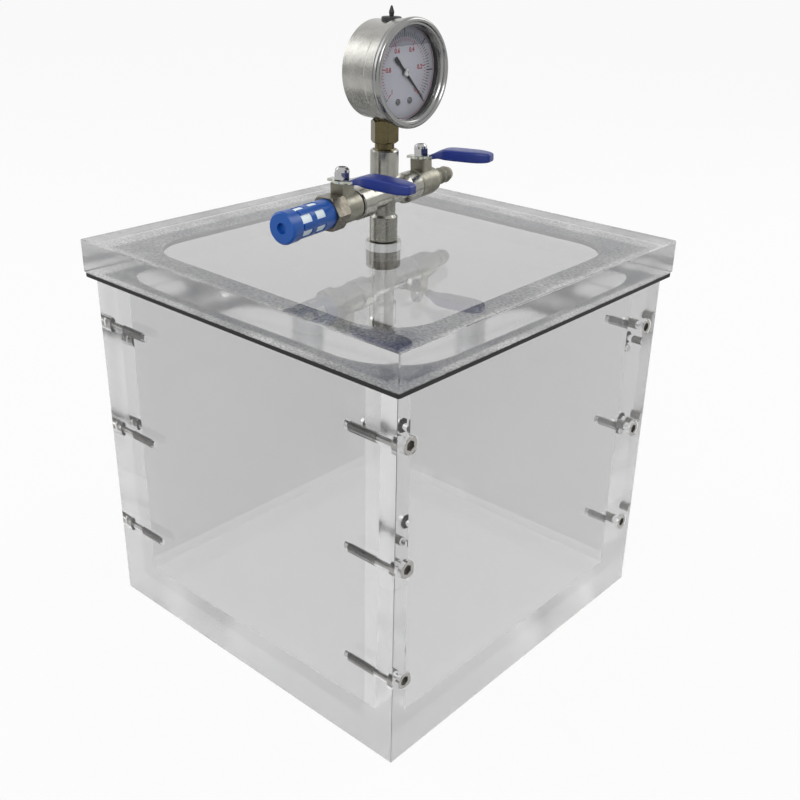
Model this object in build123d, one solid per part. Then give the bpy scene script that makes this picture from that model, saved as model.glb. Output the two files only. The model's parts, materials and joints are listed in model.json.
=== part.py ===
from build123d import *
import math
import os

# Clear acrylic vacuum chamber with a lift-off lid, a four-way manifold, two mini ball
# valves, an exhaust silencer and a bottom-entry vacuum gauge.
# Millimetres, +Z up, origin at the middle of the underside of the base.

os.makedirs("parts", exist_ok=True)

# ---------------------------------------------------------------- box of clear plates
inner_size = 200.0          # free width, depth and height of the chamber
wall_t = 20.0               # side walls
base_t = 20.0               # floor plate
lid_t = 20.0                # lid plate
lid_overhang = 5.0          # how far the lid stands past the walls
plate_edge = 0.6            # broken edges of the plates
seal_t = 3.0                # rubber frame under the lid
seal_w = 25.0               # width of that frame
seal_corner_r = 30.0        # rounded inner corners of the frame

# ---------------------------------------------------------------- wall screws (M6)
screw_r = 3.0
screw_length = 30.0
screw_head_r = 5.0
screw_head_h = 6.0
screw_key_r = 2.9           # corner radius of the hexagon socket
screw_key_depth = 3.2
screw_rows = 3
screw_edge = 30.0           # first and last screw from the ends of a wall
screw_gap = 0.15            # room around shank and head
screw_tip_room = 2.0        # drilled past the screw's tip

# ---------------------------------------------------------------- pipe threads
quarter_r = 6.55            # outside radius of a G1/4 thread
quarter_length = 9.0        # engaged length of a G1/4 spigot
half_r = 10.25              # outside radius of the G1/2 thread in the lid
thread_gap = 0.05           # radial room in every screwed or pushed joint
seat_gap = 0.1              # end room in those joints
flow_r = 3.6                # flow bore through the fittings
tape_h = 5.6                # wraps of sealing tape on the adapter
tape_t = 0.35

# ---------------------------------------------------------------- four-way cross
manifold_rise = 27.0        # manifold axis above the lid
manifold_turn = 8.0         # manifold turned about the vertical, degrees
upper_arm = 26.2
side_arm = 30.0
upright_collar_r = 8.2
upright_collar_h = 14.6
side_collar_r = 9.0
side_collar_h = 11.0
neck_r = 6.8
collar_slope = 1.4          # cone between neck and collar
collar_chamfer = 0.7

# ---------------------------------------------------------------- mini ball valves
stem_reach = 40.3           # ball centre from the middle of the cross
valve_relief = 0.8          # narrow neck between cross and valve barrel
barrel_r = 8.5
barrel_out = 5.2            # barrel past the ball centre
ball_r = 5.5
ball_bore_r = 3.0
cavity_r = 6.0
skirt_t = 1.0               # threaded skirt of the end piece inside the barrel
skirt_in = 1.5              # how far the skirt reaches into the barrel
seat_start = 3.9            # seat rings from the ball centre
seat_end = 7.0
bonnet_w = 10.0             # square stem housing on the barrel
bonnet_top = 14.4           # above the valve axis
bonnet_edge = 0.8
stem_r = 2.5
stem_flange_r = 3.4
stem_flange_t = 1.2
stem_thread_r = 2.0
tang_t = 2.0                # blade of the stem in the slot of the ball
tang_depth = 1.6
packing_r = 3.8
packing_h = 3.6
run_gap = 0.06              # radial running clearance of what turns
lift_gap = 0.15             # axial clearance of what turns
back_valve_roll = -3.4      # rear valve leans about the manifold axis, degrees
back_lever_turn = 6.5       # rear lever stands this far off its closed stop, degrees

# ---------------------------------------------------------------- levers
lever_t = 1.5
lever_hub_r = 5.6
lever_tab = 8.4             # stop tab behind the stem
lever_tab_w = 5.0
lever_neck_w = 6.4
lever_rise = 2.6            # step from the hub up to the grip
lever_rise_start = 7.0
lever_rise_end = 15.0
lever_reach = 46.5          # stem to the tip of the grip
grip_start = 11.5
grip_w = 12.6
grip_t = 4.8
grip_skin = 1.2             # vinyl left past the end of the steel
grip_tip_w = 7.0
grip_tip_round = 2.2
grip_edge = 1.2
nut_flats = 8.0
nut_hex_h = 4.2
nut_dome_h = 2.6
nut_dome_r = 3.9
nut_dome_edge = 1.1
stem_show = 0.9             # stem end below the top of the nut

# ---------------------------------------------------------------- end pieces
hex_flats = 18.0
hex_length = 11.0
hex_chamfer_r = 9.7
shoulder_r = 7.6            # round shoulder of the hose tail
shoulder_length = 8.0
shoulder_taper = 3.0
tail_length = 17.0
tail_r = 4.1
barb_r = 5.1
barb_count = 3
barb_step = 0.3             # share of a barb's length before its edge
tail_bore_r = 2.8

# ---------------------------------------------------------------- silencer
silencer_length = 36.0
silencer_r = 8.3
silencer_cap_r = 8.8
silencer_cap_h = 8.0
silencer_groove = 0.5
silencer_groove_w = 1.2
silencer_bore_r = 6.6
silencer_floor = 4.0        # solid end of the cage
silencer_root = 8.4         # solid ring next to the valve
window_count = 6
window_rows = 2
window_length = 7.7
window_w = 4.6
window_rib = 3.6
end_recess_r = 3.0
end_recess_depth = 2.4
sleeve_wall = 2.0

# ---------------------------------------------------------------- vacuum gauge
gauge_rise = 96.5           # gauge centre above the lid
case_r = 26.5
case_wall = 1.0
case_back = -9.0            # along the gauge's own axis, from the stem's centre line
case_front = 13.0
case_edge = 1.5
flange_step = 1.1           # front flange past the case
flange_t = 1.7
bezel_wall = 1.9            # bezel past the flange
bezel_front = 21.0
bezel_back = 10.0
bezel_lip_w = 2.0           # bezel's front lip inside the flange's radius
bezel_lip = 1.6
window_t = 2.0
spacer_wall = 2.4
dial_t = 0.5
dial_back = 10.4
dial_gap = 0.3              # dial to case wall
dial_hole_r = 1.6
dial_screw_x = 5.2
dial_screw_edge = 9.5       # dial screws in from the outside of the case
dial_screw_r = 1.5
dial_screw_shank_r = 0.8
dial_screw_h = 0.9
dial_screw_length = 5.0
socket_hex_flats = 14.0
socket_hex_h = 12.8
socket_neck_r = 5.6
block_w = 16.0
block_top = -13.0
block_back = -4.0
tube_mean_r = 18.0
tube_band = 5.0
tube_t = 1.8
tube_wall = 0.35
tube_end_deg = 200.0
tube_back = -3.6
vent_x = 4.0                # vent plug along the gauge's axis
vent_r = 5.5
vent_t = 1.6
vent_stem_r = 2.8
vent_stem_h = 2.6
nipple_r = 1.5
nipple_h = 5.6

# ---------------------------------------------------------------- gauge movement
gear_module = 0.32
pinion_teeth = 10
sector_teeth = 54           # teeth of a full wheel of the sector's radius
pointer_sweep = 270.0       # degrees from zero to full scale
gear_backlash = 0.09
plate_w = 16.0
plate_top = 8.0
plate_t = 0.8
back_plate_z = 2.0
front_plate_z = 7.2
pillar_r = 0.9
pillar_x = 6.8
pillar_y = 6.6
pillar_low_y = -12.0
spindle_r = 0.8
gear_back = 4.2
gear_t = 1.7
sector_tail = 4.5
link_t = 0.5
link_w = 1.4
pointer_zero_deg = -45.0
pointer_tip = 21.0
pointer_tail = 12.3
pointer_tail_w = 2.8
pointer_root_w = 1.7
pointer_tip_w = 0.5
pointer_t = 0.4
pointer_back = 12.2
pointer_hub_r = 1.9
pointer_hub_h = 1.6
pointer_cap_r = 1.25
pointer_cap_h = 0.7

# ---------------------------------------------------------------- derived places
outer_size = inner_size + 2 * wall_t
lid_size = outer_size + 2 * lid_overhang
wall_base_z = base_t
seal_z = wall_base_z + inner_size
lid_z = seal_z + seal_t
lid_top_z = lid_z + lid_t
manifold_z = lid_top_z + manifold_rise
gauge_z = lid_top_z + gauge_rise
socket_r = quarter_r + thread_gap
flange_r = case_r + flange_step
bezel_r = flange_r + bezel_wall
bezel_inner_r = flange_r - bezel_lip_w
dial_screw_y = dial_screw_edge - case_r
socket_depth = quarter_length + 1.0
barrel_in = stem_reach - side_arm - valve_relief
silencer_start = barrel_out + hex_length
gauge_axes = Plane(origin=(0, 0, 0), x_dir=(0, 1, 0), z_dir=(1, 0, 0)).location
pinion_pitch_r = gear_module * pinion_teeth / 2
sector_pitch_r = gear_module * sector_teeth / 2
sector_pivot_y = -(pinion_pitch_r + sector_pitch_r)
sector_sweep = pointer_sweep * pinion_teeth / sector_teeth
block_front = dial_back


def save(name, shape):
    """Writes one piece to its own file."""
    export_step(shape, os.path.join("parts", name + ".step"))


def block(low, high):
    """A box between two corners."""
    size = [b - a for a, b in zip(low, high)]
    middle = [(a + b) / 2 for a, b in zip(low, high)]
    return Pos(*middle) * Box(*size)


def rod(radius, low, high):
    """A cylinder on the Z axis between two heights."""
    return Pos(0, 0, (low + high) / 2) * Cylinder(radius, high - low)


def turned(profile):
    """A solid of revolution about Z from (radius, height) points."""
    outline = Polyline(*[(r, 0, z) for r, z in profile], close=True)
    return revolve(make_face(outline), Axis.Z)


def hex_bar(flats, low, high):
    """A hexagonal bar on the Z axis, with two corners on the X axis."""
    corner = flats / math.sqrt(3)
    return Pos(0, 0, low) * extrude(RegularPolygon(corner, 6), high - low)


def outward(shape, side):
    """Turns a piece made along +Z to point along the manifold, away from the cross."""
    return Rot(-90 * side, 0, 0) * shape


def in_manifold(shape):
    """Places a piece made about the middle of the cross."""
    return Pos(0, 0, manifold_z) * Rot(0, 0, manifold_turn) * shape


def in_valve(shape, side):
    """Places a piece made about a ball's centre, with its stem along +Z."""
    roll = back_valve_roll if side > 0 else 0.0
    return in_manifold(Pos(0, side * stem_reach, 0) * Rot(0, roll, 0) * shape)


def in_gauge(shape):
    """Places a piece made face up: X to the right of the dial, Y up, Z to the viewer."""
    return Pos(0, 0, gauge_z) * gauge_axes * shape


# ================================================================ box of clear plates

def screw_heights():
    """Heights of the screws, evenly spaced over a wall."""
    span = inner_size - 2 * screw_edge
    return [wall_base_z + screw_edge + span * i / (screw_rows - 1) for i in range(screw_rows)]


def screw_places():
    """Each wall screw's head face, with its axis pointing into the box."""
    offset = outer_size / 2 - wall_t / 2
    places = []
    for x_side in (-1, 1):
        for y_side in (-1, 1):
            for height in screw_heights():
                spot = Pos(x_side * outer_size / 2, y_side * offset, height)
                places.append(spot * Rot(0, -90 * x_side, 0))
    return places


def screw_hole():
    """Counterbore and drilled hole, from the head face inwards."""
    deep = screw_head_h + screw_length + screw_tip_room
    head = rod(screw_head_r + screw_gap, -1, screw_head_h)
    return head + rod(screw_r + screw_gap, 0, deep)


def cap_screw():
    """Socket-head cap screw, from its head face inwards."""
    head = rod(screw_head_r, 0, screw_head_h)
    head = chamfer(head.edges().group_by(Axis.Z)[0], 0.5)
    key = extrude(RegularPolygon(screw_key_r, 6), screw_key_depth)
    shank = rod(screw_r, screw_head_h, screw_head_h + screw_length)
    shank = chamfer(shank.edges().group_by(Axis.Z)[-1], 0.6)
    return head + shank - key


def plate(size_x, size_y, thick):
    """A clear plate standing on its lower face, with all edges broken."""
    body = Pos(0, 0, thick / 2) * Box(size_x, size_y, thick)
    return chamfer(body.edges(), plate_edge)


def make_box():
    holes = [place * screw_hole() for place in screw_places()]
    middle = outer_size / 2 - wall_t / 2
    side_wall = plate(wall_t, outer_size, inner_size)
    end_wall = plate(inner_size, wall_t, inner_size)
    walls = {
        "wall_right": Pos(middle, 0, wall_base_z) * side_wall,
        "wall_left": Pos(-middle, 0, wall_base_z) * side_wall,
        "wall_front": Pos(0, -middle, wall_base_z) * end_wall,
        "wall_back": Pos(0, middle, wall_base_z) * end_wall,
    }
    for name, wall in walls.items():
        save(name, wall - holes)
    save("base_plate", plate(outer_size, outer_size, base_t))
    save("wall_screws", Compound(children=[place * cap_screw() for place in screw_places()]))


def make_lid():
    lid = Pos(0, 0, lid_z) * plate(lid_size, lid_size, lid_t)
    save("lid_plate", lid - rod(half_r + thread_gap, lid_z - 1, lid_top_z + 1))
    opening = lid_size - 2 * seal_w
    frame = Rectangle(lid_size - 2 * plate_edge, lid_size - 2 * plate_edge)
    frame = frame - RectangleRounded(opening, opening, seal_corner_r)
    save("lid_seal", Pos(0, 0, seal_z) * extrude(frame, seal_t))


def make_adapter():
    tape_z = lid_top_z - tape_h
    seat_r = half_r - tape_t
    top = lid_top_z + quarter_length
    body = turned([
        (flow_r, lid_z), (half_r - 0.5, lid_z), (half_r, lid_z + 0.5),
        (half_r, tape_z), (seat_r, tape_z), (seat_r, lid_top_z),
        (quarter_r, lid_top_z), (quarter_r, top - 0.6), (quarter_r - 0.6, top), (flow_r, top),
    ])
    save("lid_adapter", body)
    tape = rod(half_r, tape_z, lid_top_z) - rod(seat_r, tape_z - 1, lid_top_z + 1)
    save("thread_tape", tape)


# ================================================================ four-way cross

def cross_arm(reach, collar_r, collar_h):
    """One arm along +Z: neck, coned step and threaded collar."""
    collar_z = reach - collar_h
    return turned([
        (0, 0), (neck_r, 0), (neck_r, collar_z - collar_slope), (collar_r, collar_z),
        (collar_r, reach - collar_chamfer), (collar_r - collar_chamfer, reach), (0, reach),
    ])


def arm_bore(reach):
    """Flow bore and thread socket of one arm."""
    return rod(flow_r, 0, reach) + rod(socket_r, reach - socket_depth, reach + 1)


def make_cross():
    arms = [
        (Rot(0, 0, 0), upper_arm, upright_collar_r, upright_collar_h),
        (Rot(180, 0, 0), manifold_rise, upright_collar_r, upright_collar_h),
        (Rot(-90, 0, 0), side_arm, side_collar_r, side_collar_h),
        (Rot(90, 0, 0), side_arm, side_collar_r, side_collar_h),
    ]
    body = Sphere(neck_r)
    for turn, reach, collar_r, collar_h in arms:
        body += turn * cross_arm(reach, collar_r, collar_h)
    for turn, reach, collar_r, collar_h in arms:
        body -= turn * arm_bore(reach)
    save("cross_fitting", in_manifold(body))


# ================================================================ ball valves

def valve_body(side):
    """Spigot, barrel and stem housing in one casting. +Z is away from the cross."""
    spigot_end = -(stem_reach - side_arm) - quarter_length
    relief_z = -barrel_in - valve_relief
    relief_r = quarter_r - 0.4
    barrel = turned([
        (0, spigot_end), (quarter_r - 0.6, spigot_end), (quarter_r, spigot_end + 0.6),
        (quarter_r, relief_z - 0.2), (relief_r, relief_z), (relief_r, -barrel_in),
        (barrel_r - 0.7, -barrel_in), (barrel_r, -barrel_in + 0.7),
        (barrel_r, barrel_out), (0, barrel_out),
    ])
    barrel = outward(barrel, side)
    half = bonnet_w / 2
    bonnet = block((-half, -half, 0), (half, half, bonnet_top))
    bonnet = chamfer(bonnet.edges().filter_by(Axis.Z), bonnet_edge)
    skirt_r = cavity_r + skirt_t + thread_gap
    hollow = rod(flow_r, spigot_end - 1, 0)
    hollow += rod(cavity_r, -seat_end, barrel_out + 1)
    hollow += rod(skirt_r, barrel_out - skirt_in - seat_gap, barrel_out + 1)
    flange_top = ball_r + lift_gap + stem_flange_t + lift_gap
    stem_way = rod(stem_flange_r + run_gap, 0, flange_top)
    stem_way += rod(stem_r + run_gap, 0, bonnet_top + 1)
    stem_way += rod(packing_r, bonnet_top - packing_h, bonnet_top + 1)
    return barrel + bonnet - outward(hollow, side) - stem_way


def end_skirt():
    """Threaded skirt and seat pocket shared by both end pieces, along +Z."""
    skirt = rod(cavity_r + skirt_t, barrel_out - skirt_in, barrel_out)
    pocket = rod(cavity_r, barrel_out - skirt_in - 1, seat_end)
    return skirt, pocket


def hex_end(side):
    """Hexagonal end piece with a thread socket for the silencer."""
    skirt, pocket = end_skirt()
    end = barrel_out + hex_length
    corner_r = hex_flats / math.sqrt(3)
    cone = corner_r - hex_chamfer_r
    body = hex_bar(hex_flats, barrel_out, end)
    body &= turned([
        (0, barrel_out), (hex_chamfer_r, barrel_out), (corner_r, barrel_out + cone),
        (corner_r, end - cone), (hex_chamfer_r, end), (0, end),
    ])
    body += skirt
    body -= pocket
    body -= rod(flow_r, 0, end)
    body -= rod(socket_r, end - quarter_length + 1.0, end + 1)
    return outward(body, side)


def hose_tail(side):
    """Round end piece with a barbed tail for a push-on hose."""
    skirt, pocket = end_skirt()
    tail_z = barrel_out + shoulder_length
    end = tail_z + tail_length
    pitch = tail_length / barb_count
    profile = [(0, barrel_out), (shoulder_r, barrel_out), (shoulder_r, tail_z - shoulder_taper)]
    profile += [(tail_r + 0.6, tail_z)]
    for i in range(barb_count):
        low = tail_z + pitch * i
        profile += [(barb_r, low + pitch * barb_step), (tail_r, low + pitch)]
    profile += [(0, end)]
    body = turned(profile) + skirt - pocket
    body -= rod(flow_r, 0, barrel_out + shoulder_length / 2)
    body -= rod(tail_bore_r, 0, end + 1)
    return outward(body, side)


def seat_ring(direction):
    """Plastic seat on one side of the ball, with a spherical face."""
    ring = rod(cavity_r - thread_gap, seat_start, seat_end) - rod(flow_r, 0, seat_end + 1)
    return outward(ring - Sphere(ball_r + run_gap), direction)


def valve_ball():
    """Drilled ball with a slot on top. Closed: its bore lies along X, across the flow."""
    ball = Sphere(ball_r) - Rot(0, 90, 0) * Cylinder(ball_bore_r, 4 * ball_r)
    slot_floor = ball_r - tang_depth
    half = tang_t / 2 + run_gap
    return ball - block((-ball_r, -half, slot_floor), (ball_r, half, ball_r + 1))


def valve_stem():
    """Stem from the slot of the ball up to the thread of the lock nut."""
    flange_z = ball_r + lift_gap
    lever_z = bonnet_top + lift_gap
    top = lever_z + lever_t + nut_hex_h + nut_dome_h - stem_show
    stem = rod(stem_flange_r, flange_z, flange_z + stem_flange_t)
    stem += rod(stem_r, flange_z, lever_z)
    stem += rod(stem_thread_r, lever_z, top)
    half = tang_t / 2
    tang_half_w = stem_r
    tang = block((-tang_half_w, -half, ball_r - tang_depth + run_gap), (tang_half_w, half, flange_z))
    return stem + tang


def stem_packing():
    """Packing ring round the stem in the top of its housing."""
    low = bonnet_top - packing_h
    return rod(packing_r, low, bonnet_top) - rod(stem_r + run_gap, low - 1, bonnet_top + 1)


def lever_section(low_x, high_x, half_t):
    """Side profile of the lever: flat hub, rising step, flat handle."""
    mid = bonnet_top + lift_gap + lever_t / 2
    high = mid + lever_rise
    xs = [(low_x, mid), (lever_rise_start, mid), (lever_rise_end, high), (high_x, high)]
    upper = [(x, 0, z + half_t) for x, z in xs]
    lower = [(x, 0, z - half_t) for x, z in reversed(xs)]
    return make_face(Polyline(*upper, *lower, close=True))


def valve_lever():
    """Stamped steel lever along +X with a stop tab behind the stem."""
    end = lever_reach - grip_skin
    strip = extrude(lever_section(-lever_tab, end, lever_t / 2), grip_w, both=True)
    hub = Circle(lever_hub_r)
    tab = Pos(-lever_tab / 2, 0) * Rectangle(lever_tab, lever_tab_w)
    neck = Pos(grip_start / 2, 0) * Rectangle(grip_start, lever_neck_w)
    blade_w = grip_w - 2 * grip_skin
    blade = Pos((grip_start + end) / 2, 0) * Rectangle(end - grip_start, lever_neck_w)
    swell = Polyline((grip_start, lever_neck_w / 2), (lever_rise_end + 4, blade_w / 2),
                     (end - 8, blade_w / 2), (end, (grip_tip_w - 2 * grip_skin) / 2),
                     (end, -(grip_tip_w - 2 * grip_skin) / 2), (end - 8, -blade_w / 2),
                     (lever_rise_end + 4, -blade_w / 2), (grip_start, -lever_neck_w / 2), close=True)
    plan = hub + tab + neck + blade + make_face(swell)
    column = Pos(0, 0, bonnet_top - 1) * extrude(plan, 4 * lever_t + lever_rise)
    lever = strip & column
    return lever - rod(stem_thread_r + thread_gap, bonnet_top - 1, bonnet_top + 4 * lever_t)


def grip_plan(spread):
    """Plan of the vinyl grip, narrow at its start and tapered at its tip."""
    half = grip_w / 2 + spread
    root = lever_neck_w / 2 + grip_skin + spread
    tip = grip_tip_w / 2 + spread
    swell_x = lever_rise_end + 5
    taper_x = lever_reach - 9
    points = [(grip_start, root), (swell_x, half), (taper_x, half), (lever_reach, tip)]
    mirrored = [(x, -y) for x, y in reversed(points)]
    return make_face(Polyline(*points, *mirrored, close=True))


def is_upright(edge):
    """True for an edge that runs along Z."""
    size = edge.bounding_box().size
    return size.Z > 2 * max(size.X, size.Y)


def lever_grip():
    """Dipped vinyl grip that wraps the handle of the lever."""
    sleeve = extrude(lever_section(grip_start, lever_reach, grip_t / 2), grip_w, both=True)
    column = Pos(0, 0, bonnet_top - 4) * extrude(grip_plan(0), 4 * grip_t + lever_rise)
    grip = sleeve & column
    corners = grip.edges().filter_by(Axis.Z).group_by(Axis.X)[-1]
    grip = fillet(corners, grip_tip_round)
    rims = [edge for edge in grip.edges() if edge.center().X > grip_start + 0.1 and not is_upright(edge)]
    grip = chamfer(rims, grip_edge)
    return grip - valve_lever()


def lock_nut():
    """Hexagonal lock nut with a rounded collar, on the thread of the stem."""
    low = bonnet_top + lift_gap + lever_t
    top = low + nut_hex_h
    dome_top = top + nut_dome_h
    nut = hex_bar(nut_flats, low, top)
    collar = rod(nut_dome_r, top, dome_top)
    collar = chamfer(collar.edges().group_by(Axis.Z)[-1], nut_dome_edge)
    return nut + collar - rod(stem_thread_r + thread_gap, low - 1, dome_top + 1)


def make_valve(prefix, side, end_name, end_piece, lever_turn):
    turning = Rot(0, 0, lever_turn)
    save(prefix + "_valve_body", in_valve(valve_body(side), side))
    save(end_name, in_valve(end_piece(side), side))
    save(prefix + "_inner_seat", in_valve(seat_ring(-side), side))
    save(prefix + "_outer_seat", in_valve(seat_ring(side), side))
    save(prefix + "_stem_packing", in_valve(stem_packing(), side))
    save(prefix + "_ball", in_valve(turning * valve_ball(), side))
    save(prefix + "_stem", in_valve(turning * valve_stem(), side))
    save(prefix + "_lever", in_valve(turning * valve_lever(), side))
    save(prefix + "_lever_grip", in_valve(turning * lever_grip(), side))
    save(prefix + "_lock_nut", in_valve(turning * lock_nut(), side))


# ================================================================ silencer

def silencer_cage():
    """Moulded cage with a spigot, two rows of windows and a closed end, along +Z."""
    start = silencer_start
    end = start + silencer_length
    cap_z = end - silencer_cap_h
    bead = silencer_cap_r - silencer_r
    groove_r = silencer_r - silencer_groove
    spigot_end = start - quarter_length + 1.0 + seat_gap
    body = turned([
        (0, spigot_end), (quarter_r, spigot_end), (quarter_r, start), (silencer_r, start),
        (silencer_r, cap_z - silencer_groove_w), (groove_r, cap_z - silencer_groove_w),
        (groove_r, cap_z), (silencer_r, cap_z), (silencer_cap_r, cap_z + bead),
        (silencer_cap_r, end - 1.0), (silencer_cap_r - 1.0, end), (0, end),
    ])
    body -= rod(flow_r, spigot_end - 1, start + 1)
    body -= rod(silencer_bore_r, start + 1, end - silencer_floor)
    body -= rod(end_recess_r, end - end_recess_depth, end + 1)
    window = block((silencer_bore_r - 1.2, -window_w / 2, 0),
                   (silencer_cap_r + 1, window_w / 2, window_length))
    first = start + silencer_root
    for row in range(window_rows):
        height = first + row * (window_length + window_rib)
        for i in range(window_count):
            turn = 360 / window_count * (i + 0.5)
            body -= Rot(0, 0, turn) * Pos(0, 0, height) * window
    return body


def silencer_sleeve():
    """Porous sleeve that fills the bore of the cage."""
    outer_r = silencer_bore_r - thread_gap
    low = silencer_start + 1 + seat_gap
    high = silencer_start + silencer_length - silencer_floor - seat_gap
    return rod(outer_r, low, high) - rod(outer_r - sleeve_wall, low - 1, high - sleeve_wall)


def make_silencer():
    for name, piece in (("silencer_cage", silencer_cage()), ("silencer_sleeve", silencer_sleeve())):
        save(name, in_valve(outward(piece, -1), -1))


# ================================================================ gauge

def gauge_case():
    """Drawn case with a turned-in back edge, a front flange and holes for socket and vent."""
    shell = rod(case_r, case_back, case_front)
    shell = chamfer(shell.edges().group_by(Axis.Z)[0], case_edge)
    shell += rod(flange_r, case_front - flange_t, case_front)
    shell -= rod(case_r - case_wall, case_back + case_wall, case_front + 1)
    socket_way = Rot(90, 0, 0) * rod(socket_neck_r + thread_gap, 0, case_r + 1)
    vent_way = Pos(0, 0, vent_x) * Rot(-90, 0, 0) * rod(vent_stem_r + thread_gap, 0, case_r + 1)
    return shell - socket_way - vent_way


def gauge_bezel():
    """Rolled bezel ring crimped behind the flange of the case."""
    inside_r = flange_r + seat_gap
    crimp_z = case_front - flange_t - seat_gap
    lip_z = bezel_front - bezel_lip
    return turned([
        (case_r + seat_gap, bezel_back), (bezel_r - 1.4, bezel_back), (bezel_r, bezel_back + 1.4),
        (bezel_r, bezel_front - 2.6), (bezel_r - 1.0, bezel_front - 0.8),
        (bezel_r - 2.4, bezel_front), (bezel_inner_r + 0.6, bezel_front - 0.4),
        (bezel_inner_r, bezel_front - 1.0), (bezel_inner_r, lip_z), (inside_r, lip_z),
        (inside_r, crimp_z), (case_r + seat_gap, crimp_z),
    ])


def window_z():
    """Height of the back of the window in the bezel."""
    return bezel_front - bezel_lip - seat_gap - window_t


def gauge_window():
    return rod(flange_r - thread_gap, window_z(), window_z() + window_t)


def window_spacer():
    """Dark ring that holds the window off the case."""
    low = case_front
    high = window_z()
    return rod(flange_r - thread_gap, low, high) - rod(flange_r - spacer_wall, low - 1, high + 1)


def dial_plate():
    """Dial with a hole for the spindle and two screw holes."""
    dial = rod(case_r - case_wall - dial_gap, dial_back, dial_back + dial_t)
    dial -= rod(dial_hole_r, dial_back - 1, dial_back + 2)
    for side in (-1, 1):
        hole = rod(dial_screw_shank_r + thread_gap, dial_back - 1, dial_back + 2)
        dial -= Pos(side * dial_screw_x, dial_screw_y) * hole
    return dial


def dial_screw(slot_deg):
    """Slotted pan-head screw that holds the dial to the socket block."""
    head_z = dial_back + dial_t
    head = rod(dial_screw_r, head_z, head_z + dial_screw_h)
    head = chamfer(head.edges().group_by(Axis.Z)[-1], 0.3)
    slot = Rot(0, 0, slot_deg) * block((-2, -0.22, head_z + 0.4), (2, 0.22, head_z + 2))
    return head - slot + rod(dial_screw_shank_r, head_z - dial_screw_length, head_z)


def socket_block():
    """Part of the socket inside the case: carries dial, movement and Bourdon tube."""
    half = block_w / 2
    low = -(case_r - case_wall) + 2.5
    return block((-half, low, block_back), (half, block_top, block_front))


def gauge_socket():
    """Brass socket: thread, hexagon, neck through the case and inner block."""
    upright = Rot(-90, 0, 0)
    collar_top = manifold_rise + upper_arm - gauge_rise
    hex_top = -case_r - seat_gap
    hex_low = hex_top - socket_hex_h
    spigot_low = collar_top - quarter_length
    neck = turned([
        (0, spigot_low), (quarter_r - 0.6, spigot_low), (quarter_r, spigot_low + 0.6),
        (quarter_r, collar_top - 0.4), (socket_neck_r, collar_top + 0.6),
        (socket_neck_r, block_top - 4.0), (0, block_top - 4.0),
    ])
    corner_r = socket_hex_flats / math.sqrt(3)
    nose = corner_r - socket_hex_flats / 2
    hexagon = hex_bar(socket_hex_flats, hex_low, hex_top)
    hexagon &= turned([
        (0, hex_low), (socket_hex_flats / 2 - 0.2, hex_low), (corner_r, hex_low + nose),
        (corner_r, hex_top - nose), (socket_hex_flats / 2 - 0.2, hex_top), (0, hex_top),
    ])
    body = upright * (neck + hexagon) + socket_block()
    body -= upright * rod(1.6, spigot_low - 1, block_top - 6.0)
    for side in (-1, 1):
        deep = block_front - dial_screw_length - 0.5
        hole = rod(dial_screw_shank_r + thread_gap, deep, block_front + 1)
        body -= Pos(side * dial_screw_x, dial_screw_y) * hole
    return body


def tube_arc(radial_t, band_low, band_high, start_deg, end_deg):
    """Part of a flat ring about the gauge centre, between two angles."""
    sweep = end_deg - start_deg
    low_r = tube_mean_r - radial_t / 2
    high_r = tube_mean_r + radial_t / 2
    outline = Polyline((low_r, 0, band_low), (high_r, 0, band_low), (high_r, 0, band_high),
                       (low_r, 0, band_high), close=True)
    return Rot(0, 0, start_deg) * revolve(make_face(outline), Axis.Z, sweep)


def bourdon_tube():
    """Flattened C-shaped tube, closed at its tip and open into the socket block."""
    start = -80.0
    band_high = tube_back + tube_band
    tube = tube_arc(tube_t, tube_back, band_high, start, tube_end_deg)
    tube -= tube_arc(tube_t - 2 * tube_wall, tube_back + tube_wall, band_high - tube_wall,
                     start - 1, tube_end_deg - 3)
    tip_height = link_z() - seat_gap
    tip = tube_arc(tube_t, band_high, tip_height, tube_end_deg - 6, tube_end_deg)
    return tube + tip - socket_block()


def movement_frame():
    """Two brass plates on four pillars, standing on the socket block."""
    half = plate_w / 2
    frame = block((-half, block_top, back_plate_z), (half, plate_top, back_plate_z + plate_t))
    frame += block((-half, block_top, front_plate_z), (half, plate_top, front_plate_z + plate_t))
    for x in (-pillar_x, pillar_x):
        for y in (pillar_y, pillar_low_y):
            frame += Pos(x, y) * rod(pillar_r, back_plate_z, front_plate_z + plate_t)
    pivot = rod(spindle_r + run_gap, back_plate_z - 1, front_plate_z + plate_t + 1)
    return frame - pivot - Pos(0, sector_pivot_y) * pivot


def gear_tooth(pitch_r, teeth, turn):
    """One straight-flanked tooth on a wheel, as a flat outline."""
    tip_r = pitch_r + gear_module * 0.9
    root_r = pitch_r - gear_module * 1.3
    pitch_half = (math.pi * gear_module / 2 - gear_backlash) / 2
    flank = math.tan(math.radians(20))
    tip_half = pitch_half - (tip_r - pitch_r) * flank
    root_half = pitch_half + (pitch_r - root_r) * flank
    tooth = make_face(Polyline((root_r, -root_half), (tip_r, -tip_half), (tip_r, tip_half),
                               (root_r, root_half), close=True))
    return Rot(0, 0, turn) * tooth


def pinion_spindle():
    """Pointer spindle with its pinion, cut from one bar. A gap faces the sector."""
    root_r = pinion_pitch_r - gear_module * 1.25
    wheel = Circle(root_r)
    step = 360 / pinion_teeth
    for i in range(pinion_teeth):
        wheel += gear_tooth(pinion_pitch_r, pinion_teeth, -90 + step * (i + 0.5))
    top = pointer_back + pointer_hub_h
    shaft = rod(spindle_r, back_plate_z - 0.6, top)
    return Pos(0, 0, gear_back) * extrude(wheel, gear_t) + shaft


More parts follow.
